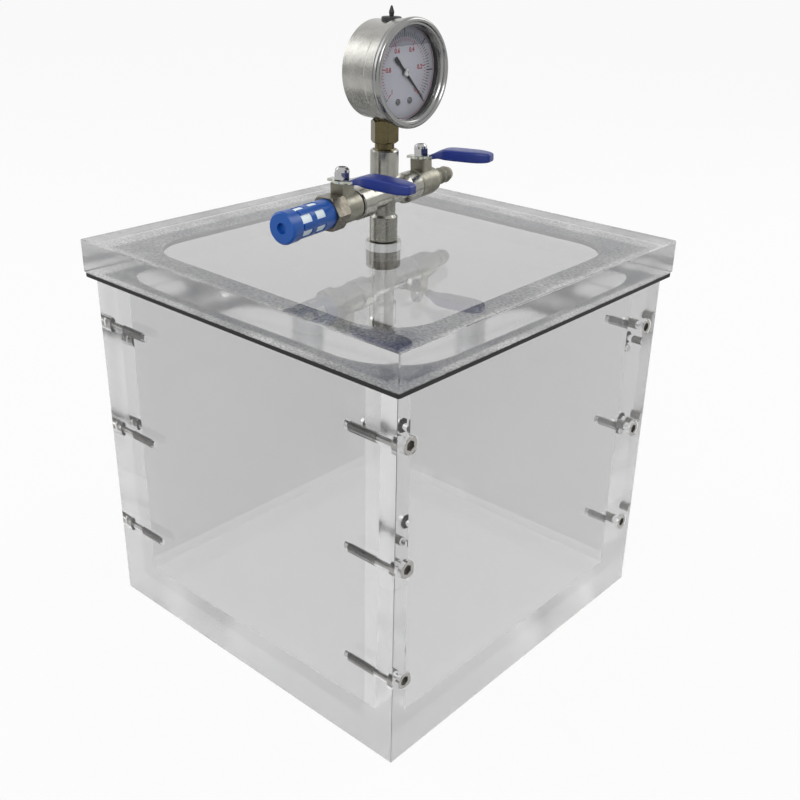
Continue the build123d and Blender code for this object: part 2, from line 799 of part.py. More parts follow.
def sector_gear():
    """Toothed sector on its own shaft, with a tail for the link."""
    root_r = sector_pitch_r - gear_module * 1.25
    step = 360 / sector_teeth
    count = math.ceil(sector_sweep / step) + 3
    ends = (-1.5 * step, (count - 0.5) * step)
    fan = [(0, 0)]
    for i in range(13):
        angle = math.radians(90 + ends[0] + (ends[1] - ends[0]) * i / 12)
        fan.append((root_r / math.cos(math.radians(1.5)) * math.cos(angle),
                    root_r / math.cos(math.radians(1.5)) * math.sin(angle)))
    plan = make_face(Polyline(*fan, close=True)) + Circle(2.0)
    for i in range(-1, count):
        plan += gear_tooth(sector_pitch_r, sector_teeth, 90 + step * i)
    tail = Pos(-sector_tail / 2, 0) * Rectangle(sector_tail, link_w)
    plan += Rot(0, 0, 8) * (tail + Pos(-sector_tail, 0) * Circle(link_w / 2))
    shaft = rod(spindle_r, back_plate_z - 0.4, front_plate_z + plate_t + 0.4)
    return Pos(0, sector_pivot_y) * (Pos(0, 0, gear_back) * extrude(plan, gear_t - 0.2) + shaft)


def link_z():
    """Back of the link, just in front of the sector."""
    return gear_back + gear_t + 0.35


def movement_link():
    """Link from the tip of the Bourdon tube towards the tail of the sector."""
    tip_angle = math.radians(tube_end_deg - 3)
    tip_x = tube_mean_r * math.cos(tip_angle)
    tip_y = tube_mean_r * math.sin(tip_angle)
    end_x = -sector_tail * math.cos(math.radians(8))
    end_y = sector_pivot_y - sector_tail * math.sin(math.radians(8))
    length = math.hypot(end_x - tip_x, end_y - tip_y)
    turn = math.degrees(math.atan2(end_y - tip_y, end_x - tip_x))
    plan = SlotCenterToCenter(length, link_w)
    spot = Pos((tip_x + end_x) / 2, (tip_y + end_y) / 2, link_z()) * Rot(0, 0, turn)
    return spot * extrude(plan, link_t)


def gauge_pointer():
    """Pointer with a slim tip, a broad tail and a round hub."""
    half_root = pointer_root_w / 2
    half_tip = pointer_tip_w / 2
    blade = make_face(Polyline((0, -half_root), (pointer_tip, -half_tip), (pointer_tip + 0.4, 0),
                               (pointer_tip, half_tip), (0, half_root), close=True))
    tail = Pos(-pointer_tail / 2, 0) * Rectangle(pointer_tail, pointer_root_w)
    flag_length = pointer_tail * 0.62
    flag = Pos(-pointer_tail + flag_length / 2, 0) * Rectangle(flag_length, pointer_tail_w)
    body = Pos(0, 0, pointer_back) * extrude(blade + tail + flag, pointer_t)
    body += rod(pointer_hub_r, pointer_back, pointer_back + pointer_hub_h)
    body = Rot(0, 0, pointer_zero_deg) * body
    return body - rod(spindle_r + thread_gap, pointer_back - 1, pointer_back + pointer_hub_h + 1)


def pointer_cap():
    """Bright cap on the hub of the pointer."""
    low = pointer_back + pointer_hub_h
    cap = rod(pointer_cap_r, low, low + pointer_cap_h)
    return chamfer(cap.edges().group_by(Axis.Z)[-1], 0.3)


def vent_plug():
    """Rubber vent plug that sits in the top of the case, with a cut-off nipple."""
    low = case_r - case_wall - vent_stem_h + 1.0
    seat = case_r - 0.6
    top = case_r + vent_t
    tip = top + nipple_h
    head = turned([(0, seat), (vent_r, seat), (vent_r, top - 0.4), (vent_r - 0.4, top), (0, top)])
    head = Rot(-90, 0, 0) * head
    head -= Pos(0, 0, -vent_x) * rod(case_r, case_back, case_front)
    rest = turned([
        (0, low), (vent_stem_r, low), (vent_stem_r, top - 0.5), (nipple_r * 0.75, top),
        (nipple_r, top + nipple_h * 0.4), (nipple_r * 0.8, top + nipple_h * 0.6),
        (nipple_r * 0.3, tip), (0, tip),
    ])
    return Pos(0, 0, vent_x) * (head + Rot(-90, 0, 0) * rest)


def make_gauge():
    pieces = {
        "gauge_case": gauge_case(),
        "gauge_bezel": gauge_bezel(),
        "gauge_window": gauge_window(),
        "window_spacer": window_spacer(),
        "gauge_dial": dial_plate(),
        "gauge_socket": gauge_socket(),
        "bourdon_tube": bourdon_tube(),
        "movement_frame": movement_frame(),
        "movement_link": movement_link(),
        "pinion_spindle": pinion_spindle(),
        "sector_gear": sector_gear(),
        "gauge_pointer": gauge_pointer(),
        "pointer_cap": pointer_cap(),
        "vent_plug": vent_plug(),
    }
    for name, piece in pieces.items():
        save(name, in_gauge(piece))
    screws = [Pos(side * dial_screw_x, dial_screw_y) * dial_screw(30 * side) for side in (-1, 1)]
    save("dial_screws", Compound(children=[in_gauge(screw) for screw in screws]))


make_box()
make_lid()
make_adapter()
make_cross()
make_valve("front", -1, "front_hex_end", hex_end, 0.0)
make_valve("back", 1, "back_hose_tail", hose_tail, back_lever_turn)
make_silencer()
make_gauge()
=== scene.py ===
"""Looks of the clear vacuum chamber: clear plates, rubber seal, nickel and brass fittings, gauge.

Every place comes from the frame. Sizes are in metres, or in millimetres where MM multiplies them."""

import json
import math

import bmesh
import bpy
from mathutils import Matrix, Vector


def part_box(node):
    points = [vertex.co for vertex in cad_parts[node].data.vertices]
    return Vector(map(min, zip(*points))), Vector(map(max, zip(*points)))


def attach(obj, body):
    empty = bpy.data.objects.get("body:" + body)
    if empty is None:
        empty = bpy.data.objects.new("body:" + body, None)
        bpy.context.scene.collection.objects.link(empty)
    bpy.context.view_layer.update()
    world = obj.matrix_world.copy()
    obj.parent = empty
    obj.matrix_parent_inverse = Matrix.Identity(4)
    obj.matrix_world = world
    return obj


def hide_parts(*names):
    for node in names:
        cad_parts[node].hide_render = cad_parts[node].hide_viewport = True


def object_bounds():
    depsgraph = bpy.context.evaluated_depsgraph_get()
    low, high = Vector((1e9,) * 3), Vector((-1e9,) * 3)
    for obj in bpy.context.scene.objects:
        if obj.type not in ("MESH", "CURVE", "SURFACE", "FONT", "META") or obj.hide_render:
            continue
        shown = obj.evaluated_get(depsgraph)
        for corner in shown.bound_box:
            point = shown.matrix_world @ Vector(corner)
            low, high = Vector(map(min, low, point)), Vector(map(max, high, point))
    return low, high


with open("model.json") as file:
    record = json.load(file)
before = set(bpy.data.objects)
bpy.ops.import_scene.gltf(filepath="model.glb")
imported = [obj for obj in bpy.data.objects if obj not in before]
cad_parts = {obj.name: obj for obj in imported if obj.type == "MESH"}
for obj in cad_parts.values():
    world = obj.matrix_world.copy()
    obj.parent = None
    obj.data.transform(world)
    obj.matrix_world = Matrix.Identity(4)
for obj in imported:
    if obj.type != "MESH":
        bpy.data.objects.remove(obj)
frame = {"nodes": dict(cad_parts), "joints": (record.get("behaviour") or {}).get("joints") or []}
cad_low, cad_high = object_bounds()
NODES = frame["nodes"]
JOINTS = {joint["name"]: joint for joint in frame["joints"]}
MM = 0.001
TINY = 0.0001  # radius in mm that stands for a point on an axis


# ---------------------------------------------------------------- places read from the frame

LID_LOW, LID_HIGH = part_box("lid_plate")
SEAL_LOW, SEAL_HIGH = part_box("lid_seal")
BASE_LOW, BASE_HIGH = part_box("base_plate")
WALL_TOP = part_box("wall_front")[1].z
WALL_INNER = -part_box("wall_front")[1].y
GAUGE_MID = Vector(JOINTS["pointer_turn"]["pos_m"])
FRONT_BALL = Vector(JOINTS["front_valve_turn"]["pos_m"])
BACK_BALL = Vector(JOINTS["back_valve_turn"]["pos_m"])
BACK_AXIS = Vector(JOINTS["back_valve_turn"]["axis"])
FLOW = (BACK_BALL - FRONT_BALL).normalized()


# ---------------------------------------------------------------- node helpers

def new_material(name):
    """A node material, its node tree and its Principled shader."""
    material = bpy.data.materials.new(name)
    material.use_nodes = True
    tree = material.node_tree
    return material, tree, tree.nodes["Principled BSDF"]


def add_node(tree, kind, inputs=None, **settings):
    """Adds a node, sets its properties and its input values."""
    node = tree.nodes.new(kind)
    for key, value in settings.items():
        setattr(node, key, value)
    for key, value in (inputs or {}).items():
        node.inputs[key].default_value = value
    return node


def feed(tree, socket, value):
    """Gives a socket a number, a colour or the output of another node."""
    if isinstance(value, bpy.types.NodeSocket):
        tree.links.new(value, socket)
    else:
        socket.default_value = value


def rgba(colour):
    """Colour with alpha from three channels or one grey number."""
    if isinstance(colour, (int, float)):
        colour = (colour, colour, colour)
    return (*colour, 1.0)


def scaled(colour, share):
    """A colour times a share, with no channel above 1."""
    return tuple(min(1.0, channel * share) for channel in colour)


def place_coords(tree):
    """Coordinates of the object, which are those of the part."""
    return add_node(tree, "ShaderNodeTexCoord").outputs["Object"]


def stretched_coords(tree, stretch=(1, 1, 1)):
    """Coordinates squeezed along some axes, so that noise runs along the others."""
    mapping = add_node(tree, "ShaderNodeMapping", {"Scale": stretch})
    tree.links.new(place_coords(tree), mapping.inputs["Vector"])
    return mapping.outputs["Vector"]


def noise(tree, vector, scale, detail=3.0, roughness=0.55):
    """Noise between 0 and 1, with its scale in waves per metre."""
    node = add_node(tree, "ShaderNodeTexNoise",
                    {"Scale": scale, "Detail": detail, "Roughness": roughness})
    tree.links.new(vector, node.inputs["Vector"])
    return node.outputs["Fac"]


def ramp(tree, value, stops):
    """Colour ramp from (position, colour) stops; a colour may be one grey number."""
    node = add_node(tree, "ShaderNodeValToRGB")
    elements = node.color_ramp.elements
    while len(elements) < len(stops):
        elements.new(0.5)
    for element, (position, colour) in zip(elements, stops):
        element.position = position
        element.color = rgba(colour)
    tree.links.new(value, node.inputs["Fac"])
    return node.outputs["Color"]


def two_way(tree, factor, first, second):
    """Goes from the first colour or grey number to the second as the factor rises."""
    node = add_node(tree, "ShaderNodeMix", data_type="RGBA")
    tree.links.new(factor, node.inputs["Factor"])
    for name, value in (("A", first), ("B", second)):
        feed(tree, node.inputs[name], rgba(value) if isinstance(value, (int, float)) else value)
    return node.outputs["Result"]


def multiplied(tree, first, second):
    """Two colours multiplied."""
    node = add_node(tree, "ShaderNodeMix", {"Factor": 1.0}, data_type="RGBA", blend_type="MULTIPLY")
    tree.links.new(first, node.inputs["A"])
    tree.links.new(second, node.inputs["B"])
    return node.outputs["Result"]


def math_node(tree, operation, first, second=0.0):
    """Math on sockets or numbers."""
    node = add_node(tree, "ShaderNodeMath", operation=operation)
    feed(tree, node.inputs[0], first)
    feed(tree, node.inputs[1], second)
    return node.outputs["Value"]


def size_of(tree, value):
    """A number without its sign."""
    return math_node(tree, "ABSOLUTE", value)


def map_range(tree, value, low, high, top=1.0):
    """Rises from 0 to top while the value goes from low to high."""
    node = add_node(tree, "ShaderNodeMapRange", {"From Min": low, "From Max": high, "To Max": top})
    tree.links.new(value, node.inputs["Value"])
    return node.outputs["Result"]


def split_vector(tree, vector):
    """The X, Y and Z sockets of a vector."""
    node = add_node(tree, "ShaderNodeSeparateXYZ")
    tree.links.new(vector, node.inputs["Vector"])
    return node.outputs


def facing(tree):
    """The X, Y and Z sockets of the surface's normal."""
    return split_vector(tree, add_node(tree, "ShaderNodeNewGeometry").outputs["Normal"])


def bump(tree, shader, height, strength, distance):
    """Fine relief from a height."""
    node = add_node(tree, "ShaderNodeBump", {"Strength": strength, "Distance": distance})
    tree.links.new(height, node.inputs["Height"])
    tree.links.new(node.outputs["Normal"], shader.inputs["Normal"])


def mix_shaders(tree, factor, first, second):
    """Goes from the first shader to the second as the factor rises."""
    node = add_node(tree, "ShaderNodeMixShader")
    tree.links.new(factor, node.inputs["Fac"])
    tree.links.new(first, node.inputs[1])
    tree.links.new(second, node.inputs[2])
    return node.outputs["Shader"]


# ---------------------------------------------------------------- materials

EDGE_ROUGH, EDGE_TINT = 0.17, 0.93  # of the sawn edges of the clear plates
GRAIN_HEIGHT = 0.2 * MM
SPECK_HEIGHT = 0.3 * MM


def clear_plastic(name, tint_and_shade, ior=1.49, polish=0.0, density=0.0, sawn=None):
    """Clear plastic or glass that lets light through to what it covers.

    Long ways through it are darker, and sawn(tree) gives the factor of its duller cut edges. A grey colour
    and the darkening along long ways are painted shade where they stand in for dim surroundings seen through
    it."""
    material, tree, shader = new_material(name)
    shader.inputs["Transmission Weight"].default_value = 1.0
    shader.inputs["IOR"].default_value = ior
    cloud = noise(tree, stretched_coords(tree), 9.0, 2.0)
    colour = ramp(tree, cloud, [(0.3, scaled(tint_and_shade, 0.985)), (0.7, tint_and_shade)])
    roughness = polish
    if sawn:
        edge = sawn(tree)
        marks = noise(tree, stretched_coords(tree, (1.0, 1.0, 6.0)), 160.0, 3.0)
        dull = ramp(tree, marks, [(0.3, EDGE_ROUGH * 0.6), (0.7, EDGE_ROUGH)])
        bright = ramp(tree, marks, [(0.3, EDGE_TINT * 0.97), (0.7, EDGE_TINT)])
        roughness = two_way(tree, edge, polish, dull)
        colour = two_way(tree, edge, colour, bright)
    feed(tree, shader.inputs["Roughness"], roughness)
    feed(tree, shader.inputs["Base Color"], colour)
    in_shadow = add_node(tree, "ShaderNodeLightPath").outputs["Is Shadow Ray"]
    clear = add_node(tree, "ShaderNodeBsdfTransparent", {"Color": rgba(scaled(tint_and_shade, 0.97))})
    output = tree.nodes["Material Output"]
    surface = mix_shaders(tree, in_shadow, shader.outputs["BSDF"], clear.outputs["BSDF"])
    tree.links.new(surface, output.inputs["Surface"])
    if density:
        depth = add_node(tree, "ShaderNodeVolumeAbsorption", {"Color": rgba(0.0), "Density": density})
        tree.links.new(depth.outputs["Volume"], output.inputs["Volume"])
    return material


def lid_edges(tree):
    """Factor of the lid's upright cut sides."""
    return math_node(tree, "LESS_THAN", size_of(tree, facing(tree)["Z"]), 0.5)


def box_edges(tree):
    """Factor of the cut sides of the base and of the two walls that run past the others."""
    place = split_vector(tree, place_coords(tree))
    low = math_node(tree, "LESS_THAN", place["Z"], BASE_HIGH.z)
    beside = math_node(tree, "GREATER_THAN", size_of(tree, place["X"]), WALL_INNER)
    across = math_node(tree, "GREATER_THAN", size_of(tree, facing(tree)["Y"]), 0.5)
    outside = math_node(tree, "GREATER_THAN", size_of(tree, place["Y"]), WALL_INNER)
    strip = math_node(tree, "MULTIPLY", math_node(tree, "MULTIPLY", beside, across), outside)
    return math_node(tree, "MAXIMUM", low, strip)


def metal(name, colour, roughness, grain=900.0, stretch=(1, 1, 1), depth=0.05, blotch=0.06):
    """Metal with fine grain, cloudy tone and uneven polish."""
    material, tree, shader = new_material(name)
    shader.inputs["Metallic"].default_value = 1.0
    fine = noise(tree, stretched_coords(tree, stretch), grain, 4.0)
    cloud = noise(tree, stretched_coords(tree), 130.0, 3.0)
    tone = ramp(tree, cloud, [(0.3, scaled(colour, 1 - blotch)), (0.7, scaled(colour, 1 + blotch))])
    polish = ramp(tree, fine, [(0.25, roughness * 0.75), (0.75, roughness * 1.3)])
    tree.links.new(tone, shader.inputs["Base Color"])
    tree.links.new(polish, shader.inputs["Roughness"])
    bump(tree, shader, fine, depth, GRAIN_HEIGHT)
    return material


def plastic(name, colour, roughness, grain=700.0, depth=0.05, vary=0.08, coat=0.0, gloss=0.5):
    """Moulded or dipped plastic, rubber, paint and ink."""
    material, tree, shader = new_material(name)
    vector = stretched_coords(tree)
    fine = noise(tree, vector, grain, 3.0)
    cloud = noise(tree, vector, 60.0, 2.0)
    tone = ramp(tree, cloud, [(0.3, scaled(colour, 1 - vary)), (0.7, scaled(colour, 1 + vary))])
    polish = ramp(tree, fine, [(0.3, roughness * 0.85), (0.7, min(1.0, roughness * 1.15))])
    tree.links.new(tone, shader.inputs["Base Color"])
    tree.links.new(polish, shader.inputs["Roughness"])
    shader.inputs["Specular IOR Level"].default_value = gloss
    shader.inputs["Coat Weight"].default_value = coat
    shader.inputs["Coat Roughness"].default_value = 0.12
    bump(tree, shader, fine, depth, GRAIN_HEIGHT)
    return material


def seal_material():
    """Black rubber, grey and mottled on the upper face, where it clings to the lid.

    That face is lighter towards its outer rim and darker towards the corner at +X and -Y."""
    material, tree, shader = new_material("seal_rubber")
    vector = stretched_coords(tree)
    patches = noise(tree, vector, 24.0, 4.0, 0.6)
    specks = noise(tree, vector, 560.0, 4.0, 0.75)
    place = split_vector(tree, place_coords(tree))
    # The upper face is made lighter towards its outer rim and darker towards its corner at +X and -Y.
    reach = math_node(tree, "MAXIMUM", size_of(tree, place["X"]), size_of(tree, place["Y"]))
    rim = map_range(tree, reach, SEAL_HIGH.x - 14 * MM, SEAL_HIGH.x - 10 * MM, 0.30)
    lean = math_node(tree, "SUBTRACT", place["X"], place["Y"])
    corner = math_node(tree, "MULTIPLY", math_node(tree, "SUBTRACT", lean, 0.17), 5.0)
    rim_and_patch_tone = math_node(tree, "ADD", patches, rim)
    upper_face_tone = math_node(tree, "SUBTRACT", rim_and_patch_tone, math_node(tree, "MAXIMUM", corner))
    greys = ramp(tree, upper_face_tone, [(0.20, (0.10, 0.105, 0.13)), (0.36, (0.24, 0.245, 0.265)),
                                 (0.56, (0.31, 0.315, 0.315)), (0.85, (0.62, 0.62, 0.62))])
    mottled = multiplied(tree, greys, ramp(tree, specks, [(0.36, 0.40), (0.64, 1.35)]))
    upward = math_node(tree, "GREATER_THAN", facing(tree)["Z"], 0.5)
    tree.links.new(two_way(tree, upward, 0.006, mottled), shader.inputs["Base Color"])
    shader.inputs["Roughness"].default_value = 0.75
    bump(tree, shader, specks, 0.3, SPECK_HEIGHT)
    return material


def dial_material():
    """Printed dial, with painted shade: a dark line at the level of the liquid fill and a darker tone above
    it.
    """
    material, tree, shader = new_material("dial_paint")
    coords = place_coords(tree)
    ripple = math_node(tree, "MULTIPLY", noise(tree, coords, 220.0, 2.0), 1.2 * MM)
    height = math_node(tree, "ADD", split_vector(tree, coords)["Z"], ripple)
    level = GAUGE_MID.z + 14.6 * MM
    above = map_range(tree, height, level - 0.2 * MM, level + 0.4 * MM)
    # Painted shade: the dark line and the darker tone above it stand in for the liquid's surface and the air
    # over it; the dial's own grey is the first stop.
    tone = ramp(tree, above, [(0.0, (0.33, 0.335, 0.375)), (0.45, (0.12, 0.12, 0.15)),
                              (1.0, (0.20, 0.21, 0.25))])
    tree.links.new(tone, shader.inputs["Base Color"])
    shader.inputs["Roughness"].default_value = 0.5
    return material


# Painted shade: the grey of the clear plates and the lid, and their darkening along long ways, stand in for
# the dim surroundings seen through the box; the acrylic itself is nearly colourless.
ACRYLIC = clear_plastic("acrylic", (0.71, 0.71, 0.71), density=1.0, sawn=box_edges)
ACRYLIC_LID = clear_plastic("acrylic_lid", (0.695, 0.695, 0.695), polish=0.02, density=1.5, sawn=lid_edges)
NICKEL = metal("nickel_satin", (0.235, 0.227, 0.185), 0.38, 500.0, depth=0.14, blotch=0.20)
NICKEL_BRIGHT = metal("nickel_bright", (0.30, 0.295, 0.265), 0.22, 700.0, blotch=0.10)
NICKEL_DARK = metal("nickel_dark", (0.17, 0.155, 0.125), 0.30, 500.0, depth=0.12, blotch=0.20)
CHROME = metal("nut_chrome", (0.42, 0.42, 0.42), 0.10, depth=0.03)
ZINC = metal("zinc_plate", (0.50, 0.52, 0.46), 0.24, 500.0, depth=0.08)
STEEL = metal("screw_steel", (0.36, 0.35, 0.33), 0.20, depth=0.06)
BRASS = metal("brass", (0.105, 0.088, 0.045), 0.28, 600.0, depth=0.08, blotch=0.12)
STAINLESS = metal("stainless_brushed", (0.38, 0.375, 0.35), 0.24, 420.0, (40, 1.0, 1.0), 0.10, 0.12)
STAINLESS_RING = metal("stainless_ring", (0.26, 0.26, 0.255), 0.20, 500.0)
BALL_CHROME = metal("ball_chrome", (0.80, 0.80, 0.80), 0.10)
POINTER_BLACK = plastic("pointer_black", (0.006, 0.006, 0.007), 0.6, gloss=0.15)
BLACK = plastic("black_plastic", (0.018, 0.018, 0.02), 0.5)
RUBBER = plastic("black_rubber", (0.02, 0.02, 0.022), 0.6, depth=0.2)
BLUE = plastic("blue_plastic", (0.004, 0.075, 0.34), 0.34, 600.0, 0.10, 0.10, 0.1, 0.35)
VINYL = plastic("blue_vinyl", (0.008, 0.026, 0.20), 0.34, 250.0, 0.05, 0.10, 0.05, 0.4)
PTFE = plastic("white_ptfe", (0.78, 0.79, 0.80), 0.5)
SLEEVE = plastic("porous_sleeve", (0.80, 0.90, 0.95), 0.8, 900.0, 0.5)
GLASS = clear_plastic("gauge_glass", (0.97, 0.97, 0.975), 1.22)
SEAL = seal_material()
THREAD = metal("screw_thread", (0.22, 0.215, 0.20), 0.30, depth=0.06)
DARK_STEEL = metal("dark_steel", (0.10, 0.10, 0.105), 0.30, depth=0.06)
DIAL = dial_material()
INK_BLACK = plastic("ink_black", (0.006, 0.006, 0.008), 0.6, gloss=0.2)
INK_RED = plastic("ink_red", (0.24, 0.008, 0.012), 0.6, gloss=0.2)


# ---------------------------------------------------------------- mesh helpers

def add_object(name, mesh):
    """Links a new object that holds a mesh."""
    made = bpy.data.objects.new(name, mesh)
    bpy.context.scene.collection.objects.link(made)
    return made


def object_from(name, bm):
    """Links a new object from a bmesh, with its faces turned outward."""
    mesh = bpy.data.meshes.new(name)
    bmesh.ops.recalc_face_normals(bm, faces=bm.faces)
    bm.to_mesh(mesh)
    bm.free()
    return add_object(name, mesh)


def finish_piece(piece, material, body):
    """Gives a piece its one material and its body."""
    piece.data.materials.clear()
    piece.data.materials.append(material)
    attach(piece, body)
    return piece


def make_piece(name, bm, material, body, smooth=None):
    """Turns a bmesh into a piece; edges sharper than the smooth angle in degrees stay sharp."""
    piece = object_from(name, bm)
    if smooth is not None:
        shade_smooth(piece.data)
        piece.data.set_sharp_from_angle(angle=math.radians(smooth))
    return finish_piece(piece, material, body)


def shade_smooth(mesh):
    """Smooth shading on every face."""
    mesh.polygons.foreach_set("use_smooth", [True] * len(mesh.polygons))


def evaluated_mesh(source):
    """A copy of an object's mesh with its modifiers or its curve worked out."""
    bpy.context.view_layer.update()
    graph = bpy.context.evaluated_depsgraph_get()
    return bpy.data.meshes.new_from_object(source.evaluated_get(graph))


def frame_matrix(origin, x_axis, z_axis):
    """Places a local frame from its X and Z directions."""
    z = Vector(z_axis).normalized()
    x = (Vector(x_axis) - Vector(x_axis).dot(z) * z).normalized()
    turn = Matrix((x, z.cross(x), z)).transposed().to_4x4()
    return Matrix.Translation(origin) @ turn


def circle(count):
    """Angles evenly round a circle."""
    return [2 * math.pi * k / count for k in range(count)]


def ring_points(place, radius, z, count):
    """Points of a circle about a local Z axis, sizes in mm."""
    return [place @ Vector((radius * MM * math.cos(a), radius * MM * math.sin(a), z * MM))
            for a in circle(count)]


def skin(bm, low, high):
    """Joins two closed rings of vertices with quads."""
    for i in range(len(low)):
        k = (i + 1) % len(low)
        bm.faces.new((low[i], low[k], high[k], high[i]))


def loft(bm, rings):
    """Skins rings of equal length and closes both ends."""
    made = [[bm.verts.new(point) for point in ring] for ring in rings]
    for low, high in zip(made, made[1:]):
        skin(bm, low, high)
    bm.faces.new(list(reversed(made[0])))
    bm.faces.new(made[-1])


def add_block(bm, low, high):
    """Adds a plain block between two corners."""
    middle, size = (Vector(low) + Vector(high)) / 2, Vector(high) - Vector(low)
    bmesh.ops.create_cube(bm, size=1.0, matrix=Matrix.Translation(middle) @ Matrix.Diagonal((*size, 1)))


def add_slab(bm, corners, thickness):
    """Adds a slab of the gauge's print: corners and a thickness towards the viewer."""
    lift = Vector((thickness, 0, 0))
    bottom = [bm.verts.new(corner) for corner in corners]
    top = [bm.verts.new(corner + lift) for corner in corners]
    bm.faces.new(bottom)
    bm.faces.new(top)
    skin(bm, bottom, top)


def cut_away(body, bm):
    """Takes the volume of a bmesh away from a body."""
    tool = object_from("tool", bm)
    cut = body.modifiers.new("cut", "BOOLEAN")
    cut.operation = "DIFFERENCE"
    cut.solver = "EXACT"
    cut.object = tool
    carved = evaluated_mesh(body)
    body.modifiers.clear()
    body.data = carved
    bpy.data.objects.remove(tool)


# ---------------------------------------------------------------- wall screws

HEAD_R, HEAD_H = 5.0, 6.0                            # mm, as all of these
CREST_R, ROOT_R, PITCH = 2.95, 2.4, 1.0
SCREW_LENGTH, NECK_END = 36.0, 17.0
SOCKET = [(TINY, 3.2), (2.75, 3.2), (2.9, 3.0), (2.9, 0.25)]      # corner radius and depth
HEAD_AND_NECK = [(3.15, 0.0), (4.45, 0.0), (4.85, 0.35), (HEAD_R, 0.9), (HEAD_R, 5.8), (4.8, HEAD_H),
                 (2.7, HEAD_H), (2.15, 6.5), (2.15, 17.2)]        # radius and depth
THREAD_STEPS = [(0.0, 0.0), (0.12, 0.0), (0.38, 1.0), (0.62, 1.0), (0.88, 0.0)]  # shares of pitch, height


def screw_places():
    """Middle of the head on the outer face and inward direction of each wall screw."""
    low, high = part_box("wall_screws")
    head_r = HEAD_R * MM
    heights = [low.z + head_r, (low.z + high.z) / 2, high.z - head_r]
    return [(Vector((side * high.x, y, z)), Vector((-side, 0, 0)))
            for side in (-1, 1) for y in (low.y + head_r, high.y - head_r) for z in heights]


def hexagon_radius(corner_r, angle):
    """Distance from the middle of a hexagon to its edge at an angle."""
    from_corner = abs(math.remainder(angle, math.pi / 3))
    return corner_r * math.cos(math.pi / 6) / math.cos(math.pi / 6 - from_corner)


def add_thread(bm, place, length, segments):
    """The threaded end of a screw: one helical ridge as a height field on a tube, sizes in mm."""
    rows = []
    for i in range(int(length / PITCH) * len(THREAD_STEPS) + 1):
        turn, part = divmod(i, len(THREAD_STEPS))
        step, height = THREAD_STEPS[part]
        row = []
        for k, angle in enumerate(circle(segments)):
            z = (turn + step + k / segments - 0.5) * PITCH
            radius = ROOT_R + (CREST_R - ROOT_R) * (height if 0.0 <= z <= length else 0.0)
            z = min(max(z, 0.0), length)
            point = Vector((radius * math.cos(angle), radius * math.sin(angle), z)) * MM
            row.append(bm.verts.new(place @ point))
        rows.append(row)
    for low, high in zip(rows, rows[1:]):
        for k in range(segments - 1):
            bm.faces.new((low[k], low[k + 1], high[k + 1], high[k]))
    turn_later = rows[len(THREAD_STEPS):]
    for i in range(len(turn_later) - 1):
        bm.faces.new((rows[i][-1], turn_later[i][0], turn_later[i + 1][0], rows[i + 1][-1]))


def build_screws():
    """Socket head screws with slim necks, and their threads bedded in the clear walls."""
    bm, threads = bmesh.new(), bmesh.new()
    for start, inward in screw_places():
        place = frame_matrix(start, (0, 0, 1), inward)
        socket = [[place @ (Vector((math.cos(a), math.sin(a), 0)) * hexagon_radius(r, a) * MM
                            + Vector((0, 0, z * MM))) for a in circle(48)] for r, z in SOCKET]
        loft(bm, socket + [ring_points(place, r, z, 48) for r, z in HEAD_AND_NECK])
        thread_place = place @ Matrix.Translation((0, 0, NECK_END * MM))
        add_thread(threads, thread_place, SCREW_LENGTH - NECK_END, 20)
    heads = make_piece("socket_screws", bm, STEEL, "chamber", 35)
    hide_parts("wall_screws")
    make_piece("screw_threads", threads, THREAD, "chamber", 50)


# ---------------------------------------------------------------- box and seal

def build_box():
    """The cemented base and walls as one clear body with tapped holes."""
    head_gap, root_gap, tip_gap = 0.15, 0.2, 2.5
    bm = bmesh.new()
    add_block(bm, BASE_LOW, (BASE_HIGH.x, BASE_HIGH.y, WALL_TOP))
    bmesh.ops.bevel(bm, geom=bm.edges[:], offset=0.25 * MM, segments=1, affect="EDGES")
    body = object_from("clear_box", bm)
    bm = bmesh.new()
    add_block(bm, (-WALL_INNER, -WALL_INNER, BASE_HIGH.z), (WALL_INNER, WALL_INNER, WALL_TOP + 20 * MM))
    cut_away(body, bm)
    bm = bmesh.new()
    for start, inward in screw_places():
        place = frame_matrix(start, (0, 0, 1), inward)
        loft(bm, [ring_points(place, r, z, 24) for r, z in (
            (HEAD_R + head_gap, -1.0), (HEAD_R + head_gap, HEAD_H),
            (ROOT_R + root_gap, HEAD_H), (ROOT_R + root_gap, SCREW_LENGTH + tip_gap))])
    cut_away(body, bm)
    finish_piece(body, ACRYLIC, "chamber")
    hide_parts("base_plate", "wall_front", "wall_back", "wall_left", "wall_right")


def rounded_square(half, radius, steps=12):
    """Points of a square with round corners, anticlockwise."""
    points = []
    for corner in range(4):
        turn = Matrix.Rotation(math.pi / 2 * corner, 2)
        for i in range(steps + 1):
            angle = math.pi / 2 * i / steps
            arm = Vector((math.cos(angle), math.sin(angle))) * radius
            points.append(turn @ (Vector((half - radius, half - radius)) + arm))
    return points


